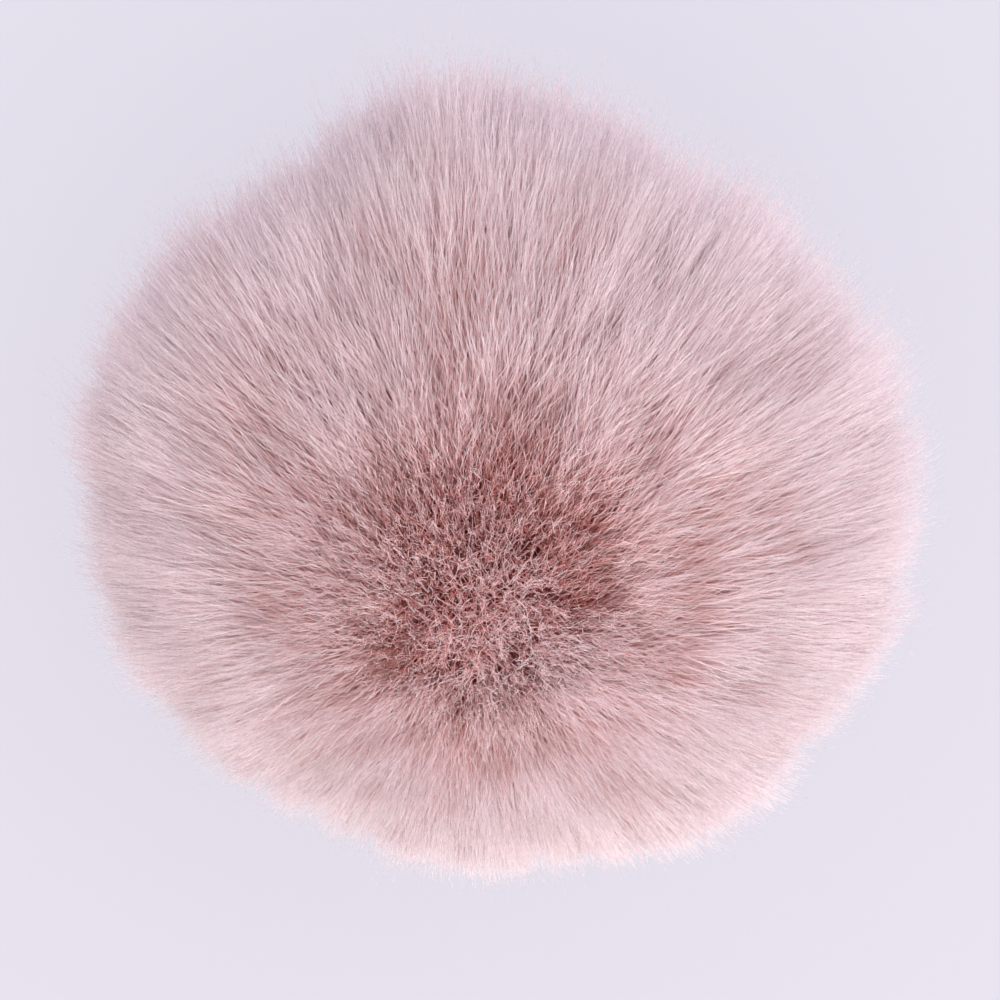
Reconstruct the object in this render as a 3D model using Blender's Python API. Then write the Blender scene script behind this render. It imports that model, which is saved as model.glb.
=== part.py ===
"""A fluffy pom pom of long faux-fur pile, lying on a table with its whorl turned up and a little to the front.

The pile grows from a gathered ball of backing cloth that is hidden inside it. It stands out in pointed locks that
all fan from one heart, which lies in front of the ball's middle, so that the pile is short at the front and long
at the back. The locks underneath are shorter and end level on the table.

Metres, +Z up, -Y to the front. The origin is on the table, under the middle of the pom pom.
"""

import math
import random

import bmesh
import bpy
from mathutils import Matrix, Vector, noise

# Driving sizes
MIDDLE = Vector((0, 0, 0.0425))  # the middle of the ball, at its widest level
CROWN_HEIGHT = 0.0455  # of the top above the middle
SEAT_DEPTH = 0.0465  # how far the pile would hang below the middle if the table did not press it flat
HEART = Vector((-0.0025, -0.0165, 0.0445))  # where the pile fans from, and the whorl with it
LUMP_SHARE = 0.022  # how far the tufts stand in or out of the smooth outline
LUMPS_ACROSS = 2.3  # how close the tufts are

# The outline seen from above: how far the tips reach from the middle at each bearing from +X, turning to +Y
OUTLINE = (
    # bearing in degrees, reach in millimetres
    (0, 50.2),
    (30, 47.0),
    (58, 43.8),
    (78, 45.6),
    (97, 49.0),
    (113, 45.4),
    (130, 44.8),
    (147, 49.2),
    (170, 50.0),
    (200, 49.8),
    (220, 48.2),
    (243, 45.8),
    (270, 47.2),
    (300, 49.4),
    (325, 50.0),
    (345, 50.9),
)

# A lock from its root to its tip
LOCK_SECTIONS = (
    # share of the way from the heart to the tip, share of the lock's own patch of the surface
    (0.66, 0.84),
    (0.85, 0.90),
    (0.94, 0.62),
    (1.00, 0.13),
)
LEVEL_TIP_WIDTH = (0.55, 0.80)  # least and most of a lock that ends on the table, as a share of its patch
SHORTEST_LOCK = 0.95  # a lock stops at random between this share of the way and the outline
TIP_SWAY = 0.0018  # how far a tip may stray sideways
LEAST_LIFT = 0.0004  # of every lock off the table, but for the ends that rest on it
TIP_TWIST = 20  # degrees that a tip may be turned about its lock

# The patches that the locks grow from are the squares of a cube blown up to a ball
LOCKS_ALONG_EDGE = 7
PATCH_JITTER = 0.26  # of a patch's width
PATCH_SWIRL = 38  # degrees that the rows of patches wind about the upright axis from the middle to the top
STEADY_BELOW = -0.98  # the corners under this height on a ball of radius 1 stay put, for a square face to rest on
SEED = 41

PILE_PINK = (0.62, 0.27, 0.28, 1.0)
PILE_ROUGHNESS = 0.9


def outline_reach(bearing):
    """The reach of the outline in metres at a bearing in degrees, eased from row to row of the table."""
    bearing = bearing % 360
    rows = OUTLINE + ((360, OUTLINE[0][1]),)
    for (low, near), (high, far) in zip(rows, rows[1:]):
        if bearing <= high:
            eased = (1 - math.cos(math.pi * (bearing - low) / (high - low))) / 2
            return (near + (far - near) * eased) / 1000


def tip_at(direction):
    """The point that the pile reaches in a direction from the middle of the ball, no lower than the table."""
    direction = direction.normalized()
    side = outline_reach(math.degrees(math.atan2(direction.y, direction.x)))
    tall = CROWN_HEIGHT if direction.z > 0 else SEAT_DEPTH
    reach = 1 / math.hypot(math.hypot(direction.x, direction.y) / side, direction.z / tall)
    reach *= 1 + LUMP_SHARE * noise.noise(direction * LUMPS_ACROSS)
    tip = MIDDLE + direction * reach
    if tip.z < 0:
        tip = MIDDLE - direction * MIDDLE.z / direction.z
        tip.z = 0
    return tip


def make_patches(draw):
    """A closed ball of square patches, one for each lock, on the outline that the tips reach."""
    mesh = bmesh.new()
    bmesh.ops.create_cube(mesh, size=2)
    bmesh.ops.subdivide_edges(mesh, edges=mesh.edges[:], cuts=LOCKS_ALONG_EDGE - 1, use_grid_fill=True)
    jitter = PATCH_JITTER * math.radians(90 / LOCKS_ALONG_EDGE)
    for vertex in mesh.verts:
        # Equal angles along the cube's edges keep the patches of one size
        direction = Vector([math.tan(side * math.pi / 4) for side in vertex.co]).normalized()
        direction.rotate(Matrix.Rotation(math.radians(PATCH_SWIRL) * direction.z, 3, "Z"))
        if direction.z > STEADY_BELOW:
            direction += Vector([draw.uniform(-jitter, jitter) for _ in range(3)])
        vertex.co = tip_at(direction)
    return mesh


def grow_lock(mesh, face, tip, draw):
    """Draws one patch of the backing out into a lock, section by section, along the line from the heart to its tip."""
    level = tip.z == 0
    length = 1 if level else draw.uniform(SHORTEST_LOCK, 1)
    sway = Vector([draw.uniform(-TIP_SWAY, TIP_SWAY) for _ in range(3)])
    twist = math.radians(draw.uniform(-TIP_TWIST, TIP_TWIST))
    root = LOCK_SECTIONS[0][0]
    axis = HEART.lerp(tip, root)
    size = root
    for share, width in LOCK_SECTIONS:
        at_tip = share == 1
        share = root + (share - root) * (length - root) / (1 - root)
        new_axis = HEART.lerp(tip, share)
        turned = Matrix.Identity(3)
        if at_tip and level:
            width = draw.uniform(*LEVEL_TIP_WIDTH)
        elif at_tip:
            new_axis += sway
            turned = Matrix.Rotation(twist, 3, tip - HEART)
        (face,) = bmesh.ops.extrude_discrete_faces(mesh, faces=[face])["faces"]
        for vertex in face.verts:
            vertex.co = new_axis + turned @ (vertex.co - axis) * (share * width / size)
            vertex.co.z = 0 if at_tip and level else max(vertex.co.z, LEAST_LIFT)
        axis = new_axis
        size = share * width


def pile_material():
    """Pink acrylic pile, quite matt."""
    material = bpy.data.materials.new("pink_pile")
    material.use_nodes = True
    shader = material.node_tree.nodes["Principled BSDF"]
    shader.inputs["Base Color"].default_value = PILE_PINK
    shader.inputs["Roughness"].default_value = PILE_ROUGHNESS
    shader.inputs["Metallic"].default_value = 0
    material.diffuse_color = PILE_PINK
    return material


def make_fur_ball():
    """The whole pile as one solid: a small ball of backing with every lock fused to it at the root."""
    draw = random.Random(SEED)
    mesh = make_patches(draw)
    patches = [(face, tip_at(face.calc_center_median() - MIDDLE)) for face in mesh.faces]
    for vertex in mesh.verts:
        vertex.co = HEART.lerp(vertex.co, LOCK_SECTIONS[0][0])
    for face, tip in patches:
        grow_lock(mesh, face, tip, draw)
    bmesh.ops.recalc_face_normals(mesh, faces=mesh.faces[:])

    data = bpy.data.meshes.new("fur_ball")
    mesh.to_mesh(data)
    mesh.free()
    data.materials.append(pile_material())
    ball = bpy.data.objects.new("fur_ball", data)

    # The locks' random lengths shift the outline's middle a little, so the ball is set back over the origin
    across = [vertex.co.x for vertex in data.vertices]
    along = [vertex.co.y for vertex in data.vertices]
    ball.location.x = -(min(across) + max(across)) / 2
    ball.location.y = -(min(along) + max(along)) / 2
    return ball


for old in list(bpy.data.objects):
    bpy.data.objects.remove(old)
pom_pom = bpy.data.collections.new("pom_pom")
bpy.context.scene.collection.children.link(pom_pom)
pom_pom.objects.link(make_fur_ball())
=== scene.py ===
"""A fluffy pom pom of pink faux fur, lying on a pale table and seen from straight above."""

import math

import bmesh
import bpy
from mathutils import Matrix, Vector, noise


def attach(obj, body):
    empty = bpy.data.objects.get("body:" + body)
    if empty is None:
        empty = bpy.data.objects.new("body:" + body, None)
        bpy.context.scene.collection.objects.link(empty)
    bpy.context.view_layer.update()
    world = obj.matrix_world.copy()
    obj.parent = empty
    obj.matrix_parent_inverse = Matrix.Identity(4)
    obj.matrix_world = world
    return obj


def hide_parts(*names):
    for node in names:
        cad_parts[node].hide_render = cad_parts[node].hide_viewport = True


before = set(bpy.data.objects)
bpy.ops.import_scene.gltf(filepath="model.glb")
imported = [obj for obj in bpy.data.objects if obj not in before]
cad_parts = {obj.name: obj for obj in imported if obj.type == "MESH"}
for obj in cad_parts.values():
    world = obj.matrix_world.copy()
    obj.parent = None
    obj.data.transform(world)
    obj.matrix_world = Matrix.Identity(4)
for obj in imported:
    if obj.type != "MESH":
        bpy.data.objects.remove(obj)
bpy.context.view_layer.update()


# The roots of the pile
# On the real pom pom the pile is so dense towards its roots that they close up into a soft ball. Its deep
# pink is painted shade: the dim light down between the roots.
# The backing cloth is gathered inside that ball and never shows. The fur grows out of it in the next section.

MIDDLE = Vector((0, 0, 0.0425))  # of the pom pom, at its widest level
CROWN_HEIGHT = 0.0455  # of the top above the middle
SEAT_DEPTH = 0.0465  # how far the pile would hang below the middle if the table did not press it flat
HEART = Vector((-0.0025, -0.0165, 0.0445))  # where the pile fans from, and the whorl with it
LUMP_SHARE = 0.022  # how far the tufts stand in or out of the smooth outline
LUMPS_ACROSS = 2.3  # how close the tufts are
SET_BACK = Vector((-0.00084, -0.00033, 0))  # from the middle to the upright line through the frame's origin

# The outline seen from above: how far the tips reach from the middle at each bearing from +X, turning to +Y
OUTLINE = (
    # bearing in degrees, reach in millimetres
    (0, 50.2),
    (30, 47.0),
    (58, 43.8),
    (78, 45.6),
    (97, 49.0),
    (113, 45.4),
    (130, 44.8),
    (147, 49.2),
    (170, 50.0),
    (200, 49.8),
    (220, 48.2),
    (243, 45.8),
    (270, 47.2),
    (300, 49.4),
    (325, 50.0),
    (345, 50.9),
)


def outline_reach(bearing):
    """The reach of the outline in metres at a bearing in degrees, eased from row to row of the table."""
    bearing = bearing % 360
    rows = OUTLINE + ((360, OUTLINE[0][1]),)
    for (low, near), (high, far) in zip(rows, rows[1:]):
        if bearing <= high:
            eased = (1 - math.cos(math.pi * (bearing - low) / (high - low))) / 2
            return (near + (far - near) * eased) / 1000


def tip_at(direction):
    """The point that the pile reaches in a direction from the middle, no lower than the table."""
    direction = direction.normalized()
    side = outline_reach(math.degrees(math.atan2(direction.y, direction.x)))
    tall = CROWN_HEIGHT if direction.z > 0 else SEAT_DEPTH
    reach = 1 / math.hypot(math.hypot(direction.x, direction.y) / side, direction.z / tall)
    reach *= 1 + LUMP_SHARE * noise.noise(direction * LUMPS_ACROSS)
    tip = MIDDLE + direction * reach
    if tip.z < 0:
        tip = MIDDLE - direction * MIDDLE.z / direction.z
        tip.z = 0
    return tip


# From the heart to the middle of the part that stands on end
STANDING_AXIS = Vector((0, 0.24, 0.97)).normalized()
STANDING_FADE = 3.0  # how soon the standing pile goes over into pile that lies over


def grown_ball(name, standing_share, lying_share, fineness):
    """A closed ball at a share of the way from the heart to the tips, which keeps the tip above each one."""
    ball = bmesh.new()
    bmesh.ops.create_icosphere(ball, subdivisions=fineness, radius=1)
    tips = []
    for vertex in ball.verts:
        tip = tip_at(vertex.co)
        tips.append(tip + SET_BACK)
        lying = 1 - math.exp(STANDING_FADE * ((tip - HEART).normalized().dot(STANDING_AXIS) - 1))
        vertex.co = HEART.lerp(tip, standing_share + (lying_share - standing_share) * lying) + SET_BACK
    data = bpy.data.meshes.new(name)
    ball.to_mesh(data)
    ball.free()
    kept = data.attributes.new("tip", "FLOAT_VECTOR", "POINT")
    kept.data.foreach_set("vector", [number for tip in tips for number in tip])
    data.shade_smooth()
    piece = bpy.data.objects.new(name, data)
    bpy.context.scene.collection.objects.link(piece)
    return piece


ROOT_BALL_STANDING = 0.68  # of the way from the heart to the tips, where the pile stands on end
ROOT_BALL_LYING = 0.76  # of the way, where it lies over
ROOT_BALL_ROUGHNESS = 0.0016  # how far the closed-up roots stand in or out
ROOT_CLUMP = 0.004  # across a clump of roots
ROOT_FIBRES_PER_METRE = 3000  # of the grain in the closed-up roots

root_ball = grown_ball("pile_roots", ROOT_BALL_STANDING, ROOT_BALL_LYING, 6)
heart = HEART + SET_BACK
for vertex in root_ball.data.vertices:
    outward = (vertex.co - heart).normalized()
    swell = noise.fractal(vertex.co / ROOT_CLUMP, 0.8, 2.0, 3)
    vertex.co += outward * ROOT_BALL_ROUGHNESS * (swell - 0.5)
    vertex.co.z = max(vertex.co.z, ROOT_BALL_ROUGHNESS)
root_ball.data.attributes.remove(root_ball.data.attributes["tip"])


def root_material():
    """Painted shade between the roots, deep pink, mottled at random from clump to clump."""
    material = bpy.data.materials.new("deep_pile")
    material.use_nodes = True
    tree = material.node_tree
    shader = tree.nodes["Principled BSDF"]
    place = tree.nodes.new("ShaderNodeTexCoord")
    mottle = tree.nodes.new("ShaderNodeTexNoise")
    mottle.inputs["Scale"].default_value = 1 / ROOT_CLUMP
    mottle.inputs["Detail"].default_value = 3
    # Both colours are painted shade of the deep pile; the mottle between them is random from clump to clump
    colours = tree.nodes.new("ShaderNodeValToRGB")
    colours.color_ramp.elements[0].position = 0.3
    colours.color_ramp.elements[0].color = (0.72, 0.19, 0.16, 1)
    colours.color_ramp.elements[1].position = 0.7
    colours.color_ramp.elements[1].color = (0.86, 0.32, 0.28, 1)
    fibres = tree.nodes.new("ShaderNodeTexNoise")
    fibres.inputs["Scale"].default_value = ROOT_FIBRES_PER_METRE
    fibres.inputs["Detail"].default_value = 2
    bump = tree.nodes.new("ShaderNodeBump")
    bump.inputs["Strength"].default_value = 0.6
    bump.inputs["Distance"].default_value = 0.0004
    tree.links.new(place.outputs["Object"], mottle.inputs["Vector"])
    tree.links.new(place.outputs["Object"], fibres.inputs["Vector"])
    tree.links.new(mottle.outputs["Fac"], colours.inputs["Fac"])
    tree.links.new(colours.outputs["Color"], shader.inputs["Base Color"])
    tree.links.new(fibres.outputs["Fac"], bump.inputs["Height"])
    tree.links.new(bump.outputs["Normal"], shader.inputs["Normal"])
    shader.inputs["Roughness"].default_value = 0.95
    shader.inputs["Specular IOR Level"].default_value = 0.1
    return material


root_ball.data.materials.append(root_material())
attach(root_ball, "root")
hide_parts("fur_ball")


# The fur
# Fine crimped acrylic fibres, tufted into the backing and brushed out. They fan from the heart, lean away
# from the whorl as they rise, gather into wisps and tufts, and cross freely at their thin, pale ends.

class Field:
    """A value in a Geometry Nodes tree, for sums that read like arithmetic, of vectors and numbers."""

    def __init__(self, tree, socket):
        self.tree = tree
        self.socket = socket

    def is_vector(self):
        return self.socket.type in ("VECTOR", "RGBA")

    def sum(self, operation, *others):
        """The result of a Math node, or of a Vector Math node where a vector takes part."""
        vector = any(
            isinstance(value, Vector) or isinstance(value, Field) and value.is_vector()
            for value in (self, *others)
        )
        node = self.tree.nodes.new("ShaderNodeVectorMath" if vector else "ShaderNodeMath")
        node.operation = operation
        for slot, value in zip(node.inputs, (self, *others)):
            if isinstance(value, Field):
                self.tree.links.new(value.socket, slot)
            elif vector and not isinstance(value, Vector):
                slot.default_value = (value, value, value)
            else:
                slot.default_value = value
        scalar = operation in ("DOT_PRODUCT", "LENGTH", "DISTANCE")
        return Field(self.tree, node.outputs["Value" if scalar or not vector else "Vector"])

    def __add__(self, other):
        return self.sum("ADD", other)

    def __sub__(self, other):
        return self.sum("SUBTRACT", other)

    def __mul__(self, other):
        return self.sum("MULTIPLY", other)

    def __truediv__(self, other):
        return self.sum("DIVIDE", other)

    def __pow__(self, other):
        return self.sum("POWER", other)

    def towards(self, other, share):
        """The value a share of the way to another."""
        return self + (other - self) * share

    def unit(self):
        return self.sum("NORMALIZE")

    def part(self, axis):
        """The X, Y or Z of a vector."""
        node = self.tree.nodes.new("ShaderNodeSeparateXYZ")
        self.tree.links.new(self.socket, node.inputs[0])
        return Field(self.tree, node.outputs[axis])


LEAST_DRAWN = 0.4  # of its tuft's and wisp's pull, by the fibre that follows it least
TUFT_BEND = 1.5  # how late along its length a fibre bends to its tuft, as a power
WISP_BEND = 2.0  # how late it bends to its wisp
EVEN_LENGTH = 0.83  # a fibre's length from the shortest to the longest, in the middle of an even tuft
VALLEY_LOSS = 0.38  # how much shorter it is at the tuft's edge
USUAL_CHANCE = 0.43  # what the fibres' uneven lengths come to on average
CRIMP_SPREAD = 3.0  # how much faster the crimp changes from root to root than along a fibre
CRIMP_JUMP = 0.08  # how far apart in the crimp's pattern two neighbours may lie
TIP_NARROWING = 0.6  # of the blade's width, lost evenly on the way to the tip
LEAST_HEIGHT = 0.0002  # of any fibre above the table
DEEPEST_SHARE = 0.67  # of the way from the heart to the tips, where the painted depth shade starts to lift
DEPTH_SHADE_SHARE = 0.37  # of the way, over which the painted depth shade gives way to the pale tips


def pile_tree():
    """Grows fibres on a ball that keeps the tip above each of its points."""
    tree = bpy.data.node_groups.new("grow_pile", "GeometryNodeTree")
    tree.is_modifier = True
    sockets = (
        # name, kind of socket
        ("Geometry", "NodeSocketGeometry"),
        ("Fibres per square metre", "NodeSocketFloat"),
        ("Seed", "NodeSocketInt"),
        ("Segments", "NodeSocketInt"),
        ("Fibre width", "NodeSocketFloat"),
        ("Heart", "NodeSocketVector"),
        ("Standing axis", "NodeSocketVector"),
        ("Standing fade", "NodeSocketFloat"),
        ("From bearing", "NodeSocketFloat"),
        ("To bearing", "NodeSocketFloat"),
        ("From angle", "NodeSocketFloat"),
        ("To angle", "NodeSocketFloat"),
        ("Standing root share", "NodeSocketFloat"),
        ("Lying root share", "NodeSocketFloat"),
        ("Shortest share", "NodeSocketFloat"),
        ("Longest share", "NodeSocketFloat"),
        ("Lean", "NodeSocketFloat"),
        ("Turn", "NodeSocketFloat"),
        ("Standing stray", "NodeSocketFloat"),
        ("Lying stray", "NodeSocketFloat"),
        ("Standing unevenness", "NodeSocketFloat"),
        ("Lying unevenness", "NodeSocketFloat"),
        ("Standing raggedness", "NodeSocketFloat"),
        ("Lying raggedness", "NodeSocketFloat"),
        ("Tuft size", "NodeSocketFloat"),
        ("Standing tuft pull", "NodeSocketFloat"),
        ("Lying tuft pull", "NodeSocketFloat"),
        ("Wisp size", "NodeSocketFloat"),
        ("Standing wisp pull", "NodeSocketFloat"),
        ("Lying wisp pull", "NodeSocketFloat"),
        ("Crimp size", "NodeSocketFloat"),
        ("Standing crimp", "NodeSocketFloat"),
        ("Lying crimp", "NodeSocketFloat"),
        ("Material", "NodeSocketMaterial"),
    )
    for name, kind in sockets:
        tree.interface.new_socket(name, in_out="INPUT", socket_type=kind)
    tree.interface.new_socket("Geometry", in_out="OUTPUT", socket_type="NodeSocketGeometry")
    given = tree.nodes.new("NodeGroupInput")
    result = tree.nodes.new("NodeGroupOutput")

    def value(name):
        return Field(tree, given.outputs[name])

    def kept(name, kind):
        """A named attribute."""
        node = tree.nodes.new("GeometryNodeInputNamedAttribute")
        node.data_type = kind
        node.inputs["Name"].default_value = name
        return Field(tree, node.outputs["Attribute"])

    def keep(geometry, name, kind, domain, field):
        """Stores a field as a named attribute."""
        node = tree.nodes.new("GeometryNodeStoreNamedAttribute")
        node.data_type = kind
        node.domain = domain
        node.inputs["Name"].default_value = name
        tree.links.new(geometry, node.inputs["Geometry"])
        tree.links.new(field.socket, node.inputs["Value"])
        return node.outputs["Geometry"]

    def step(kind, geometry, **inputs):
        """A geometry node with its inputs, linked or plain. Underscores in names stand for spaces."""
        node = tree.nodes.new(kind)
        tree.links.new(geometry, node.inputs[0])
        for name, given_value in inputs.items():
            slot = node.inputs[name.replace("_", " ")]
            if isinstance(given_value, Field):
                tree.links.new(given_value.socket, slot)
            else:
                slot.default_value = given_value
        return node

    def noise_at(place, size, detail=0):
        """A vector that drifts between -1 and 1 along each axis over that size."""
        node = tree.nodes.new("ShaderNodeTexNoise")
        tree.links.new(place.socket, node.inputs["Vector"])
        tree.links.new((size ** -1.0).socket, node.inputs["Scale"])
        node.inputs["Detail"].default_value = detail
        return (Field(tree, node.outputs["Color"]) - 0.5) * 2.0

    def gathering(place, size):
        """The middle of the tuft that a place belongs to, and a random colour for that tuft."""
        node = tree.nodes.new("ShaderNodeTexVoronoi")
        tree.links.new(place.socket, node.inputs["Vector"])
        tree.links.new((size ** -1.0).socket, node.inputs["Scale"])
        return Field(tree, node.outputs["Position"]), Field(tree, node.outputs["Color"])

    # Fibres stand at random on the ball, and each keeps three random numbers
    scatter = tree.nodes.new("GeometryNodeDistributePointsOnFaces")
    scatter.distribute_method = "RANDOM"
    tree.links.new(given.outputs["Geometry"], scatter.inputs["Mesh"])
    tree.links.new(given.outputs["Fibres per square metre"], scatter.inputs["Density"])
    tree.links.new(given.outputs["Seed"], scatter.inputs["Seed"])

    chance = tree.nodes.new("FunctionNodeRandomValue")
    chance.data_type = "FLOAT_VECTOR"
    tree.links.new(given.outputs["Seed"], chance.inputs["Seed"])
    chance = Field(tree, chance.outputs["Value"])
    roots = keep(scatter.outputs["Points"], "chance", "FLOAT_VECTOR", "POINT", chance)

    # Only those within this piece's own sector of the ball are kept
    tip = kept("tip", "FLOAT_VECTOR")
    outward = (tip - value("Heart")).unit()
    bearing = outward.part("Y").sum("ARCTAN2", outward.part("X")).sum("DEGREES")
    angle = outward.part("Z").sum("ARCCOSINE").sum("DEGREES")
    turned = (bearing - value("From bearing")).sum("FLOORED_MODULO", 360.0)
    outside = turned.sum("GREATER_THAN", value("To bearing") - value("From bearing"))
    outside = outside + angle.sum("LESS_THAN", value("From angle"))
    outside = outside + angle.sum("GREATER_THAN", value("To angle"))
    trimmed = step("GeometryNodeDeleteGeometry", roots, Selection=outside)

    # One fibre is a narrow blade of a few segments that ends in a point
    blade = tree.nodes.new("GeometryNodeMeshGrid")
    blade.inputs["Size X"].default_value = 1
    blade.inputs["Size Y"].default_value = 1
    blade.inputs["Vertices X"].default_value = 2
    rows = value("Segments") + 1.0
    tree.links.new(rows.socket, blade.inputs["Vertices Y"])
    fibre = keep(blade.outputs["Mesh"], "UVMap", "FLOAT2", "CORNER", Field(tree, blade.outputs["UV Map"]))
    place = Field(tree, tree.nodes.new("GeometryNodeInputPosition").outputs["Position"])
    fibre = keep(fibre, "across", "FLOAT", "POINT", place.part("X"))
    fibre = keep(fibre, "along", "FLOAT", "POINT", place.part("Y") + 0.5)
    at_tip = kept("along", "FLOAT").sum("GREATER_THAN", 0.999)
    fibre = step("GeometryNodeSetPosition", fibre, Position=place * (at_tip * Vector((-1, 0, 0)) + 1.0))
    fibre = step("GeometryNodeMergeByDistance", fibre.outputs["Geometry"], Distance=0.001)

    grown = step("GeometryNodeInstanceOnPoints", trimmed.outputs["Geometry"])
    tree.links.new(fibre.outputs["Geometry"], grown.inputs["Instance"])
    grown = step("GeometryNodeRealizeInstances", grown.outputs["Instances"])

    # The line that each fibre follows from its root to its tip
    along = kept("along", "FLOAT")
    across = kept("across", "FLOAT")
    chance = kept("chance", "FLOAT_VECTOR")
    way = (along * -1.0 + 1.0) ** 1.5 * -1.0 + 1.0
    to_tip = tip - value("Heart")
    reach = to_tip.sum("LENGTH")
    tuft_middle, tuft_colour = gathering(tip, value("Tuft size"))
    wisp_middle, wisp_colour = gathering(tip, value("Wisp size"))
    tuft_way = (tuft_middle - value("Heart")).unit()
    wisp_way = (wisp_middle - value("Heart")).unit()
    heading = to_tip.unit()
    lying = (heading.sum("DOT_PRODUCT", value("Standing axis")) - 1.0) * value("Standing fade")
    lying = lying.sum("EXPONENT") * -1.0 + 1.0

    def faded(name):
        """A value that goes over from the pile that stands on end to the pile that lies over."""
        return value("Standing " + name).towards(value("Lying " + name), lying)

    # A fibre bends to the middle of its tuft and its wisp, and gaps open where it ends up far from both
    eager = chance.part("X") * (1 - LEAST_DRAWN) + LEAST_DRAWN
    heading = heading.towards(tuft_way, faded("tuft pull") * way ** TUFT_BEND * eager)
    heading = heading.towards(wisp_way, faded("wisp pull") * way ** WISP_BEND * eager)
    gap = ((heading.unit() - tuft_way) * reach).sum("LENGTH") / value("Tuft size")
    upright = Vector((0, 0, 1))
    lean = value("Lean") * lying * (along * -1.0 + 1.0)
    heading = heading + (chance - 0.5) * faded("stray") * way
    heading = (heading + (heading * -1.0 + upright) * lean).unit()

    # Its length depends on its tuft, its wisp, its own chance and how near it is to the tuft's edge
    spread = value("Longest share") - value("Shortest share")
    evenness = (chance.part("Y") * -1.0 + 1.0) ** 0.75 * -1.0 + 1.0
    valley = ((tip - tuft_middle).sum("LENGTH") / value("Tuft size")).sum("MINIMUM", 1.0)
    shares = (tuft_colour.part("X") - 0.5) * faded("unevenness")
    shares = shares + (evenness - USUAL_CHANCE + wisp_colour.part("X") - 0.5) * faded("raggedness")
    shares = shares - valley * VALLEY_LOSS + EVEN_LENGTH
    length = value("Shortest share") + spread * shares
    root_share = faded("root share")
    share = root_share + (length - root_share) * way
    line = value("Heart") + heading * reach * share

    # Crimp, and the blade's own width
    crimp_place = tip * CRIMP_SPREAD + chance * CRIMP_JUMP + heading * reach * share
    crimp = noise_at(crimp_place, value("Crimp size")) * faded("crimp") * way
    line = line + crimp
    flat = heading.sum("CROSS_PRODUCT", upright)
    sideways = (flat + heading.sum("CROSS_PRODUCT", (chance - 0.5) * value("Turn"))).unit()
    taper = (way ** 3.0) * -TIP_NARROWING + 1.0
    line = line + sideways * across * value("Fibre width") * taper
    height = line.part("Z").sum("MAXIMUM", LEAST_HEIGHT)
    settle = tree.nodes.new("ShaderNodeCombineXYZ")
    tree.links.new(line.part("X").socket, settle.inputs["X"])
    tree.links.new(line.part("Y").socket, settle.inputs["Y"])
    tree.links.new(height.socket, settle.inputs["Z"])
    shaped = keep(grown.outputs["Geometry"], "shade", "FLOAT", "POINT", chance.part("Z"))
    shaped = keep(shaped, "lying", "FLOAT", "POINT", lying)
    # rise: how high in the pile a point is, for painted shade that is deeper and redder lower down
    shaped = keep(shaped, "rise", "FLOAT", "POINT", (share - DEEPEST_SHARE) / DEPTH_SHADE_SHARE)
    shaped = keep(shaped, "tuft", "FLOAT", "POINT", tuft_colour.part("Y"))
    # gap: how far a fibre ends from its tuft's middle, for painted shade in the gaps between tufts
    shaped = keep(shaped, "gap", "FLOAT", "POINT", gap.sum("MINIMUM", 1.0))
    shaped = keep(shaped, "wisp", "FLOAT", "POINT", wisp_colour.part("Y"))
    shaped = step("GeometryNodeSetPosition", shaped, Position=Field(tree, settle.outputs["Vector"]))
    shaped = step("GeometryNodeSetShadeSmooth", shaped.outputs["Geometry"], Shade_Smooth=True)
    finished = step("GeometryNodeSetMaterial", shaped.outputs["Geometry"], Material=value("Material"))
    for name in ("tip", "chance", "across"):
        finished = step("GeometryNodeRemoveAttribute", finished.outputs["Geometry"], Name=name)
    tree.links.new(finished.outputs["Geometry"], result.inputs["Geometry"])
    return tree


FIBRES_ACROSS = 2  # drawn side by side on one blade
WAVES_ALONG = 8  # how often they waver or break off along it
UNLIKE_FIBRES = 400  # how far apart in the drawing two blades may lie by chance
UNLIKE_WISPS = 300
FIBRE_RELIEF = 0.00004
SOFT_EDGE = 0.12  # half the width of the drawing's values over which a fibre thins out to nothing
SHINE_THROUGH = 0.52  # of the light on a fibre, which goes through it
REDDENED = (1.0, 0.80, 0.77)  # what is left of the light that does

PILE_COLOURS_AND_SHADE = (
    # how high in the pile, colour: pale near the tips, painted shade deeper and redder below
    (0.0, (0.86, 0.26, 0.22, 1)),
    (0.25, (0.96, 0.50, 0.46, 1)),
    (0.50, (0.97, 0.70, 0.69, 1)),
    (0.72, (0.98, 0.83, 0.86, 1)),
    (0.95, (0.99, 0.93, 0.98, 1)),
)


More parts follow.
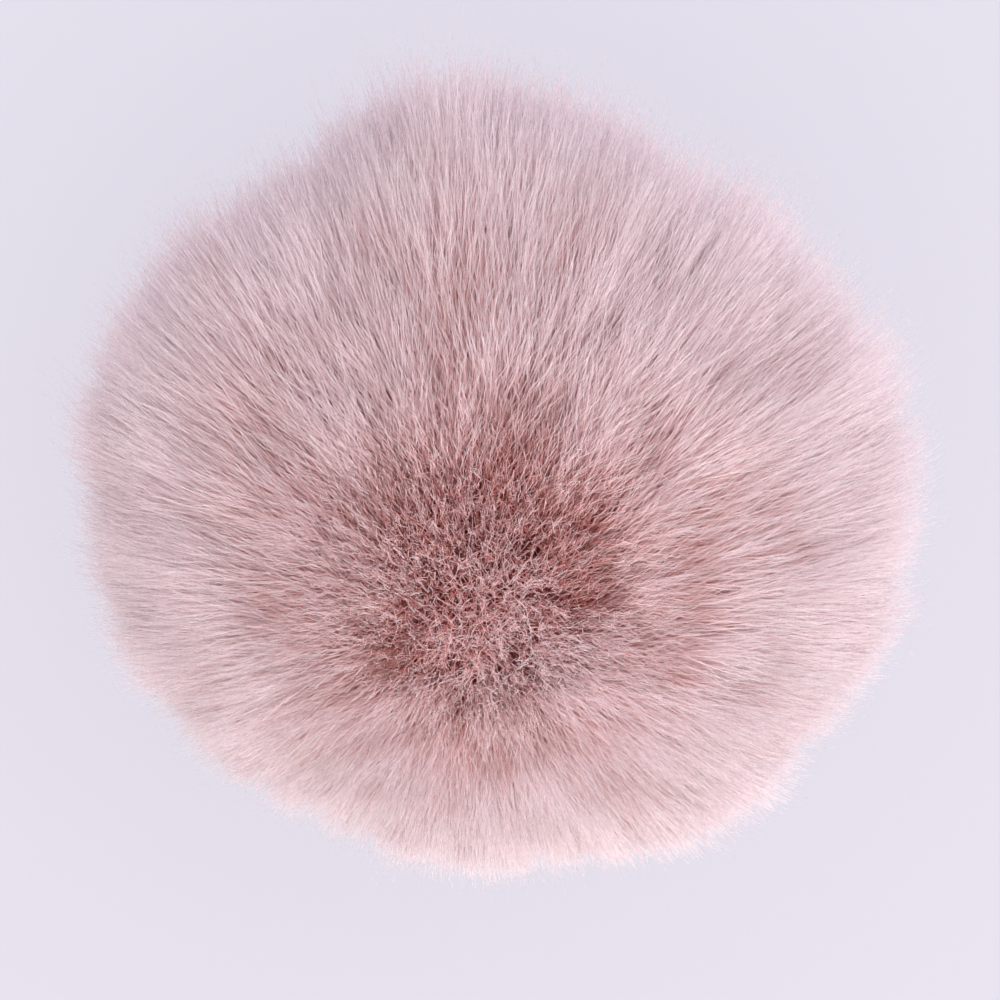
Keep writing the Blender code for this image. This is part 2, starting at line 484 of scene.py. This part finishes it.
def fur_material():
    """Acrylic fibre: pale and thin at the tip, painted shade deeper pink towards the root, no two fibres or
    tufts alike.
    """
    material = bpy.data.materials.new("pink_fur")
    material.use_nodes = True
    tree = material.node_tree
    shader = tree.nodes["Principled BSDF"]
    output = tree.nodes["Material Output"]

    def attribute(name):
        node = tree.nodes.new("ShaderNodeAttribute")
        node.attribute_name = name
        return node.outputs["Fac"]

    def spread(name, low, high, start=0, end=1):
        """An attribute between a start and an end, brought between two other values."""
        node = tree.nodes.new("ShaderNodeMapRange")
        node.inputs["From Min"].default_value = start
        node.inputs["From Max"].default_value = end
        node.inputs["To Min"].default_value = low
        node.inputs["To Max"].default_value = high
        tree.links.new(attribute(name), node.inputs["Value"])
        return node.outputs["Result"]

    def math_of(operation, first, second):
        """The result of a Math node. The second value may be a plain number."""
        node = tree.nodes.new("ShaderNodeMath")
        node.operation = operation
        tree.links.new(first, node.inputs[0])
        if isinstance(second, float):
            node.inputs[1].default_value = second
        else:
            tree.links.new(second, node.inputs[1])
        return node.outputs["Value"]

    # The colour follows the height in the pile, with painted shade deeper and redder low down, a little
    # changed at random by fibre, wisp and tuft, and much by painted shade in the gaps
    height = math_of("ADD", attribute("rise"), spread("shade", -0.05, 0.05))
    height = math_of("ADD", height, spread("wisp", -0.07, 0.07))
    height = math_of("ADD", height, spread("tuft", -0.12, 0.12))
    # Painted shade: deeper colour where a fibre lies in the gap between tufts
    height = math_of("ADD", height, spread("gap", 0.18, -0.44))
    # Painted shade: deeper colour where the pile stands on end and one looks down into it
    height = math_of("ADD", height, spread("lying", -0.10, 0.11, start=0.06, end=0.26))
    # Painted light: paler colour at the rim, where light comes through the thin lying fibres
    height = math_of("ADD", height, spread("lying", 0, 0.16, start=0.6))
    ramp = tree.nodes.new("ShaderNodeValToRGB")
    tree.links.new(height, ramp.inputs["Fac"])
    while len(ramp.color_ramp.elements) < len(PILE_COLOURS_AND_SHADE):
        ramp.color_ramp.elements.new(0.5)
    for element, (position, colour) in zip(ramp.color_ramp.elements, PILE_COLOURS_AND_SHADE):
        element.position = position
        element.color = colour
    lightness = math_of("MULTIPLY", spread("shade", 0.92, 1.02), spread("tuft", 0.91, 1.0))
    tinted = tree.nodes.new("ShaderNodeVectorMath")
    tinted.operation = "MULTIPLY"
    tree.links.new(ramp.outputs["Color"], tinted.inputs[0])
    tree.links.new(lightness, tinted.inputs[1])
    tree.links.new(tinted.outputs["Vector"], shader.inputs["Base Color"])

    tree.links.new(spread("shade", 0.60, 0.85), shader.inputs["Roughness"])
    shader.inputs["Specular IOR Level"].default_value = 0.05

    # Light that goes through the fibres comes out redder
    glow = tree.nodes.new("ShaderNodeBsdfTranslucent")
    reddened = tree.nodes.new("ShaderNodeVectorMath")
    reddened.operation = "MULTIPLY"
    reddened.inputs[1].default_value = REDDENED
    tree.links.new(tinted.outputs["Vector"], reddened.inputs[0])
    tree.links.new(reddened.outputs["Vector"], glow.inputs["Color"])
    mixed = tree.nodes.new("ShaderNodeMixShader")
    mixed.inputs["Fac"].default_value = SHINE_THROUGH
    tree.links.new(shader.outputs["BSDF"], mixed.inputs[1])
    tree.links.new(glow.outputs["BSDF"], mixed.inputs[2])

    # Each blade stands for a few fibres side by side, drawn along it with clear gaps between them
    unfolded = tree.nodes.new("ShaderNodeUVMap")
    unfolded.uv_map = "UVMap"
    across_and_along = tree.nodes.new("ShaderNodeVectorMath")
    across_and_along.operation = "MULTIPLY"
    across_and_along.inputs[1].default_value = (FIBRES_ACROSS, WAVES_ALONG, 0)
    tree.links.new(unfolded.outputs["UV"], across_and_along.inputs[0])
    own_place = tree.nodes.new("ShaderNodeCombineXYZ")
    tree.links.new(spread("shade", 0, UNLIKE_FIBRES), own_place.inputs["X"])
    tree.links.new(spread("wisp", 0, UNLIKE_WISPS), own_place.inputs["Y"])
    placed = tree.nodes.new("ShaderNodeVectorMath")
    placed.operation = "ADD"
    tree.links.new(across_and_along.outputs["Vector"], placed.inputs[0])
    tree.links.new(own_place.outputs["Vector"], placed.inputs[1])
    streaks = tree.nodes.new("ShaderNodeTexNoise")
    streaks.noise_dimensions = "2D"
    streaks.inputs["Scale"].default_value = 1
    streaks.inputs["Detail"].default_value = 0
    streaks.inputs["Distortion"].default_value = 0.5
    tree.links.new(placed.outputs["Vector"], streaks.inputs["Vector"])
    bump = tree.nodes.new("ShaderNodeBump")
    bump.inputs["Strength"].default_value = 0.4
    bump.inputs["Distance"].default_value = FIBRE_RELIEF
    tree.links.new(streaks.outputs["Fac"], bump.inputs["Height"])
    tree.links.new(bump.outputs["Normal"], shader.inputs["Normal"])

    # The gaps widen towards the tips, and a little more at the rim
    cleared = spread("rise", 0.20, 0.64, start=0.50, end=1.10)
    cleared = math_of("ADD", cleared, spread("lying", 0, 0.10, start=0.5))
    clear = tree.nodes.new("ShaderNodeBsdfTransparent")
    thinning = tree.nodes.new("ShaderNodeMapRange")
    thinning.inputs["To Min"].default_value = 1
    thinning.inputs["To Max"].default_value = 0
    tree.links.new(math_of("SUBTRACT", cleared, SOFT_EDGE), thinning.inputs["From Min"])
    tree.links.new(math_of("ADD", cleared, SOFT_EDGE), thinning.inputs["From Max"])
    tree.links.new(streaks.outputs["Fac"], thinning.inputs["Value"])
    finished = tree.nodes.new("ShaderNodeMixShader")
    tree.links.new(thinning.outputs["Result"], finished.inputs["Fac"])
    tree.links.new(mixed.outputs["Shader"], finished.inputs[1])
    tree.links.new(clear.outputs["BSDF"], finished.inputs[2])
    tree.links.new(finished.outputs["Shader"], output.inputs["Surface"])
    return material


CROWN_ANGLE = 36  # degrees from the upright line through the heart to the edge of the crown
SIDE_ANGLE = 100  # degrees from it to the lower edge of the sides
BACKING_SHARE = 0.5  # of the way from the heart to the tips, where the fibres are counted out
grow_pile = pile_tree()
pink_fur = fur_material()
backing = grown_ball("backing", BACKING_SHARE, BACKING_SHARE, 6)

SECTORS = (
    # name, bearings, angles, fibres per square metre of backing, segments, fibre width
    ("pile_crown", 0, 360, 0, CROWN_ANGLE, 22.0e6, 8, 0.00011),
    ("pile_right", -40, 32, CROWN_ANGLE, SIDE_ANGLE, 17.0e6, 5, 0.00014),
    ("pile_back_right", 32, 84, CROWN_ANGLE, SIDE_ANGLE, 17.0e6, 5, 0.00014),
    ("pile_back_left", 84, 138, CROWN_ANGLE, SIDE_ANGLE, 17.0e6, 5, 0.00014),
    ("pile_left", 138, 212, CROWN_ANGLE, SIDE_ANGLE, 17.0e6, 5, 0.00014),
    ("pile_front", 212, 320, CROWN_ANGLE, SIDE_ANGLE, 17.0e6, 5, 0.00014),
    ("pile_under_right", -90, 90, SIDE_ANGLE, 180, 7.0e6, 3, 0.0004),
    ("pile_under_left", 90, 270, SIDE_ANGLE, 180, 7.0e6, 3, 0.0004),
)

for name, from_bearing, to_bearing, from_angle, to_angle, density, segments, width in SECTORS:
    inputs = {
        "Fibres per square metre": density,
        "Seed": 5,
        "Segments": segments,
        "Fibre width": width,
        "Heart": heart,
        "Standing axis": STANDING_AXIS,
        "Standing fade": STANDING_FADE,
        "From bearing": float(from_bearing),
        "To bearing": float(to_bearing),
        "From angle": float(from_angle),
        "To angle": float(to_angle),
        "Standing root share": 0.60,
        "Lying root share": 0.76,
        "Shortest share": 0.76,
        "Longest share": 1.12 if from_angle < SIDE_ANGLE else 1.03,
        "Lean": 0.35,
        "Turn": 0.6,
        "Standing stray": 0.26,
        "Lying stray": 0.13,
        "Standing unevenness": 0.45,
        "Lying unevenness": 0.20,
        "Standing raggedness": 0.16,
        "Lying raggedness": 0.30,
        "Tuft size": 0.0060,
        "Standing tuft pull": 0.85,
        "Lying tuft pull": 0.80,
        "Wisp size": 0.0023,
        "Standing wisp pull": 0.55,
        "Lying wisp pull": 0.55,
        "Crimp size": 0.0020,
        "Standing crimp": 0.0016,
        "Lying crimp": 0.0007,
        "Material": pink_fur,
    }
    growth = backing.modifiers.new("growth", "NODES")
    growth.node_group = grow_pile
    for item in grow_pile.interface.items_tree:
        if item.in_out == "INPUT" and item.name in inputs:
            growth[item.identifier] = inputs[item.name]
    backing.update_tag()
    seen = bpy.context.evaluated_depsgraph_get()
    data = bpy.data.meshes.new_from_object(backing.evaluated_get(seen))
    backing.modifiers.remove(growth)
    sector = bpy.data.objects.new(name, data)
    bpy.context.scene.collection.objects.link(sector)
    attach(sector, "root")
    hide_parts("fur_ball")
bpy.data.objects.remove(backing)


# The table, the room and the camera
# A pale lilac-white board in a white room, which is brightest to the right and the front, and cool at the
# back. The camera looks straight down, a little in front of the pom pom's middle.

TABLE_SIZE = 3.0
table_mesh = bmesh.new()
bmesh.ops.create_grid(table_mesh, x_segments=1, y_segments=1, size=TABLE_SIZE / 2)
table_data = bpy.data.meshes.new("table")
table_mesh.to_mesh(table_data)
table_mesh.free()
table = bpy.data.objects.new("table", table_data)
bpy.context.scene.collection.objects.link(table)
paper = bpy.data.materials.new("pale_board")
paper.use_nodes = True
paper_shader = paper.node_tree.nodes["Principled BSDF"]
paper_shader.inputs["Base Color"].default_value = (0.22, 0.215, 0.235, 1)
paper_shader.inputs["Roughness"].default_value = 0.9
paper_shader.inputs["Specular IOR Level"].default_value = 0.1
paper_shader.inputs["Emission Color"].default_value = (0.80, 0.775, 0.885, 1)
paper_shader.inputs["Emission Strength"].default_value = 0.62
paper.cycles.emission_sampling = "NONE"
table.data.materials.append(paper)

room = bpy.data.worlds.new("white_room")
room.use_nodes = True
room_tree = room.node_tree
background = room_tree.nodes["Background"]
look = room_tree.nodes.new("ShaderNodeTexCoord")
BRIGHT_SIDE = (0.80, -0.60, 0.95)
DIMMEST = 0.75
BRIGHTEST = 2.53
WARM_LIGHT = (1.10, 1.06, 1.01, 1)
COOL_LIGHT = (0.82, 0.79, 0.87, 1)
ABOVE_THE_CAMERA = 0.45  # of the light that is left straight overhead


def towards(direction, low, high, start=-1):
    """How far the line of sight points in a direction, from a start on, brought between two values."""
    dot = room_tree.nodes.new("ShaderNodeVectorMath")
    dot.operation = "DOT_PRODUCT"
    dot.inputs[1].default_value = Vector(direction).normalized()
    room_tree.links.new(look.outputs["Generated"], dot.inputs[0])
    brought = room_tree.nodes.new("ShaderNodeMapRange")
    brought.interpolation_type = "SMOOTHSTEP"
    brought.inputs["From Min"].default_value = start
    brought.inputs["To Min"].default_value = low
    brought.inputs["To Max"].default_value = high
    room_tree.links.new(dot.outputs["Value"], brought.inputs["Value"])
    return brought.outputs["Result"]


tint = room_tree.nodes.new("ShaderNodeMix")
tint.data_type = "RGBA"
room_tree.links.new(towards((0, 1, 0), 0, 1), tint.inputs["Factor"])
tint.inputs["A"].default_value = WARM_LIGHT
tint.inputs["B"].default_value = COOL_LIGHT
room_tree.links.new(tint.outputs["Result"], background.inputs["Color"])
shaded = room_tree.nodes.new("ShaderNodeMath")
shaded.operation = "MULTIPLY"
room_tree.links.new(towards(BRIGHT_SIDE, DIMMEST, BRIGHTEST), shaded.inputs[0])
room_tree.links.new(towards((0, 0, 1), 1.0, ABOVE_THE_CAMERA, start=0.4), shaded.inputs[1])
room_tree.links.new(shaded.outputs["Value"], background.inputs["Strength"])
room.cycles.sampling_method = "NONE"
bpy.context.scene.world = room

# Enough bounces for light that goes from fibre to fibre, and for a line of sight through many thin tips
tracing = bpy.context.scene.cycles
tracing.max_bounces = 4
tracing.diffuse_bounces = 2
tracing.transmission_bounces = 2
tracing.transparent_max_bounces = 24
tracing.debug_use_spatial_splits = True

VIEW_WIDTH = 0.120  # what the picture spans at the pom pom's widest level
LENS = 0.100
SENSOR = 0.036
BALL_IN_PICTURE = Vector((0.0006, 0.0029, 0))  # from the picture's middle to the pom pom's

eye = bpy.data.cameras.new("eye")
eye.lens = LENS * 1000
eye.sensor_width = SENSOR * 1000
camera = bpy.data.objects.new("eye", eye)
camera.location = MIDDLE - BALL_IN_PICTURE + Vector((0, 0, VIEW_WIDTH * LENS / SENSOR))
bpy.context.scene.collection.objects.link(camera)
bpy.context.scene.camera = camera
bpy.context.scene.view_settings.view_transform = "Standard"
